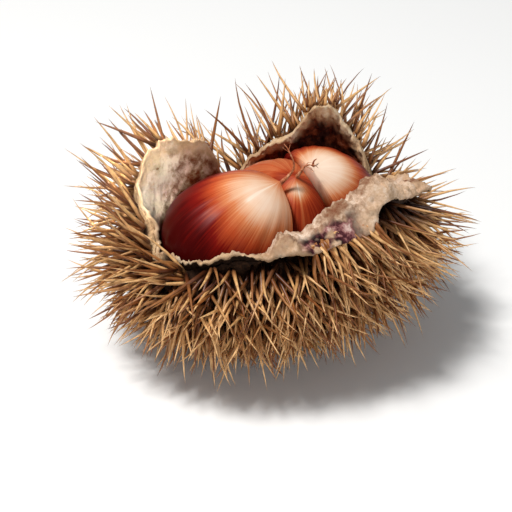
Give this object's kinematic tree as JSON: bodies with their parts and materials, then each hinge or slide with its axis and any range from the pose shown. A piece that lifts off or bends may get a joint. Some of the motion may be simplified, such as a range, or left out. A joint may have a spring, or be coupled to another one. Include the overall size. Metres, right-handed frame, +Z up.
{
  "type": "chestnut in its husk",
  "caption": "Ripe sweet chestnut burr split into spiny valves, with its glossy nuts seated side by side in the opened husk.",
  "frame": {"origin": "centre of the flat stalk scar under the burr, on the ground", "axes": "+Z up, out of the opened husk; the row of nuts runs in the XY plane, 28 degrees from +X towards +Y, and the low front valve faces -Y"},
  "size_m": [0.0971, 0.085, 0.0532],
  "materials": {
    "husk_felt": "matt felted lining, cream to grey-brown, dark brown in depth",
    "husk_spines": "dry golden tan spines, darker brown at their roots",
    "nut_shell": "smooth glossy red-brown shell, pale near the tip, with fine streaks"
  },
  "bodies": {
    "root": {"husk_wall": "husk_felt", "husk_spines": "husk_spines", "nut_left": "nut_shell", "nut_middle": "nut_shell", "nut_right": "nut_shell"}
  },
  "joints": []
}
